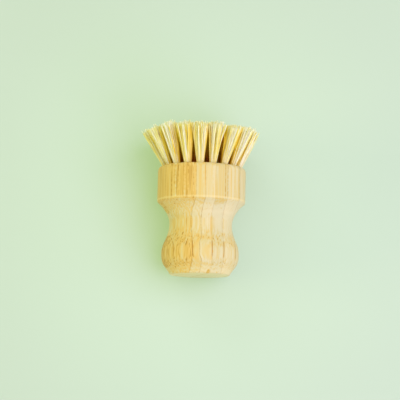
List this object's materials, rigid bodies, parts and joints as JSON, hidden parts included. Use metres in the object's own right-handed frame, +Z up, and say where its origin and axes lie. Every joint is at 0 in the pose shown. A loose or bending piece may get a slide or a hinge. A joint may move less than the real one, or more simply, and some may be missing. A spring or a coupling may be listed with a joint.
{
  "type": "banneton brush",
  "caption": "Short round bamboo scrubbing brush with a turned palm grip, a thick collar and flared tufts of pale plant fibre, for cleaning proofing baskets.",
  "frame": {"origin": "on the ground, under the middle of the brush as it lies on its side", "axes": "+Z up, +Y from the flat end of the grip towards the fibre tips, +X to the right seen from the grip; the brush's own axis lies in the YZ plane and rises 7.2 degrees towards +Y"},
  "size_m": [0.0626, 0.088, 0.0618],
  "materials": {
    "bamboo": "sanded and lightly oiled laminated bamboo, satin",
    "fibre": "undyed stiff plant fibre, matt",
    "anchor_metal": "bright flat wire"
  },
  "bodies": {
    "root": {"handle": "bamboo", "tuft_outer_01": "fibre", "tuft_outer_02": "fibre", "tuft_outer_03": "fibre", "tuft_outer_04": "fibre", "tuft_outer_05": "fibre", "tuft_outer_06": "fibre", "tuft_outer_07": "fibre", "tuft_outer_08": "fibre", "tuft_outer_09": "fibre", "tuft_outer_10": "fibre", "tuft_outer_11": "fibre", "tuft_outer_12": "fibre", "tuft_outer_13": "fibre", "tuft_outer_14": "fibre", "tuft_outer_15": "fibre", "tuft_outer_16": "fibre", "tuft_outer_17": "fibre", "tuft_outer_18": "fibre", "tuft_middle_01": "fibre", "tuft_middle_02": "fibre", "tuft_middle_03": "fibre", "tuft_middle_04": "fibre", "tuft_middle_05": "fibre", "tuft_middle_06": "fibre", "tuft_middle_07": "fibre", "tuft_middle_08": "fibre", "tuft_inner_01": "fibre", "tuft_inner_02": "fibre", "tuft_inner_03": "fibre", "anchor_outer_01": "anchor_metal", "anchor_outer_02": "anchor_metal", "anchor_outer_03": "anchor_metal", "anchor_outer_04": "anchor_metal", "anchor_outer_05": "anchor_metal", "anchor_outer_06": "anchor_metal", "anchor_outer_07": "anchor_metal", "anchor_outer_08": "anchor_metal", "anchor_outer_09": "anchor_metal", "anchor_outer_10": "anchor_metal", "anchor_outer_11": "anchor_metal", "anchor_outer_12": "anchor_metal", "anchor_outer_13": "anchor_metal", "anchor_outer_14": "anchor_metal", "anchor_outer_15": "anchor_metal", "anchor_outer_16": "anchor_metal", "anchor_outer_17": "anchor_metal", "anchor_outer_18": "anchor_metal", "anchor_middle_01": "anchor_metal", "anchor_middle_02": "anchor_metal", "anchor_middle_03": "anchor_metal", "anchor_middle_04": "anchor_metal", "anchor_middle_05": "anchor_metal", "anchor_middle_06": "anchor_metal", "anchor_middle_07": "anchor_metal", "anchor_middle_08": "anchor_metal", "anchor_inner_01": "anchor_metal", "anchor_inner_02": "anchor_metal", "anchor_inner_03": "anchor_metal"}
  },
  "joints": []
}
